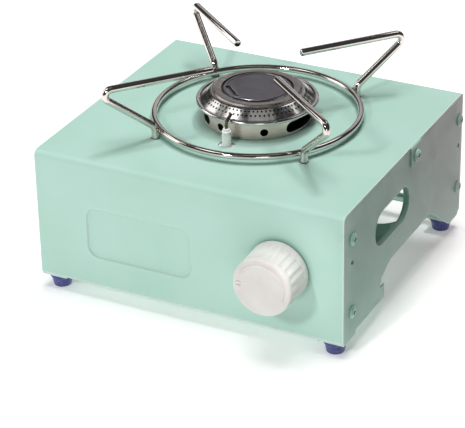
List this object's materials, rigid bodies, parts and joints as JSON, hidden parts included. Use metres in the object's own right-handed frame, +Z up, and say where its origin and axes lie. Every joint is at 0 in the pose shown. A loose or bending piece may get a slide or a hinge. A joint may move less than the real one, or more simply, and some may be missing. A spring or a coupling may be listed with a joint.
{
  "type": "camping stove",
  "caption": "Small square camping gas stove: folded steel body with hand slots, round burner, wire pan support, one knob with built-in igniter and a cartridge bay open at the rear.",
  "frame": {"origin": "on the ground, under the middle of the whole object, knob included", "axes": "+Z up; -Y to the front, where the knob is; +X to the right of somebody who faces the knob"},
  "size_m": [0.2106, 0.21, 0.135],
  "materials": {
    "mint_steel": "satin powder coat",
    "mint_screws": "satin powder coat over screw heads",
    "galvanised_steel": "zinc-coated sheet, matt",
    "foot_rubber": "moulded, matt",
    "zinc_screws": "bright zinc plate",
    "polished_wire": "polished stainless wire",
    "satin_stainless": "pressed stainless, satin",
    "polished_stainless": "spun stainless, polished",
    "burner_disc_steel": "pressed stainless, darkened",
    "white_ceramic": "glazed alumina",
    "electrode_wire": "drawn wire",
    "silicone_lead": "extruded silicone",
    "clip_nylon": "moulded nylon",
    "igniter_plastic": "moulded, matt",
    "knob_plastic": "moulded, soft gloss",
    "machined_brass": "machined",
    "seal_rubber": "moulded nitrile",
    "cast_zinc": "die-cast, matt",
    "spring_steel": "drawn wire",
    "ferrite_magnet": "sintered"
  },
  "bodies": {
    "body": {"base_plate": "mint_steel", "burner_bowl": "satin_stainless", "burner_bracket": "galvanised_steel", "burner_cap": "polished_stainless", "burner_disc": "burner_disc_steel", "burner_screws": "zinc_screws", "burner_stand": "satin_stainless", "cartridge_cradle": "mint_steel", "connector_pin": "machined_brass", "connector_seal": "seal_rubber", "connector_socket": "machined_brass", "cover_screws": "zinc_screws", "electrode_bracket": "galvanised_steel", "electrode_insulator": "white_ceramic", "electrode_rod": "electrode_wire", "foot_front_left": "foot_rubber", "foot_front_right": "foot_rubber", "foot_rear_left": "foot_rubber", "foot_rear_right": "foot_rubber", "foot_screws": "zinc_screws", "gas_jet": "machined_brass", "holder_screws": "zinc_screws", "ignition_lead": "silicone_lead", "lead_clip": "clip_nylon", "magnet_holder": "galvanised_steel", "magnet_ring": "ferrite_magnet", "mixing_tube": "galvanised_steel", "partition": "mint_steel", "piezo_body": "igniter_plastic", "piezo_bracket": "galvanised_steel", "rear_panel": "mint_steel", "regulator_adjuster": "machined_brass", "regulator_body": "cast_zinc", "regulator_cover": "cast_zinc", "regulator_diaphragm": "seal_rubber", "regulator_spring": "spring_steel", "side_panel_left": "mint_steel", "side_panel_right": "mint_steel", "side_screws": "mint_screws", "top_shell": "mint_steel", "valve_screws": "zinc_screws"},
    "knob": {"knob": "knob_plastic", "valve_spindle": "machined_brass", "spindle_seal": "seal_rubber", "spindle_cam": "igniter_plastic"},
    "igniter_plunger": {"piezo_plunger": "igniter_plastic"},
    "pan_support": {"support_ring": "polished_wire", "support_arm_1": "polished_wire", "support_arm_2": "polished_wire", "support_arm_3": "polished_wire", "support_arm_4": "polished_wire"}
  },
  "joints": [
    {"name": "knob_turn", "type": "hinge", "parent": "body", "child": "knob", "pos_m": [0.062, -0.0805, 0.0525], "axis": [0, -1, 0], "range_deg": [0, 120]},
    {"name": "igniter_push", "type": "slide", "parent": "body", "child": "igniter_plunger", "axis": [-1, 0, 0], "range_m": [0, 0.004]},
    {"name": "pan_support_lift", "type": "slide", "parent": "body", "child": "pan_support", "axis": [0, 0, 1], "range_m": [0, 0.03]}
  ],
  "couplings": [
    {"joint": "igniter_push", "follows": "knob_turn", "m_per_rad": 0.0019099}
  ]
}
